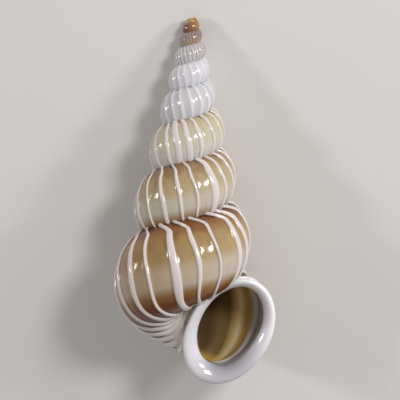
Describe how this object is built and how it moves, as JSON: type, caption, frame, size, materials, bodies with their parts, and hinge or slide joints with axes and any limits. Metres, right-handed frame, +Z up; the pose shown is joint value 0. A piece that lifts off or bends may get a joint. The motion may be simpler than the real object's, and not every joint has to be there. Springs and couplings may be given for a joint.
{
  "type": "wentletrap shell",
  "caption": "Tall spiral sea shell with rounded whorls, raised white ribs across them and a thick-rimmed oval mouth, lying on its back.",
  "frame": {"origin": "centre of the bounding box, on the surface that the shell lies on", "axes": "+Y towards the shell's tip, +Z up out of the mouth, +X to the mouth's side"},
  "size_m": [0.0144, 0.0324, 0.0123],
  "materials": {
    "shell": "very glossy aragonite, translucent tan and brown bands under white ribs and a white rim, bluish white toward the tip"
  },
  "bodies": {
    "root": {"shell": "shell"}
  },
  "joints": []
}
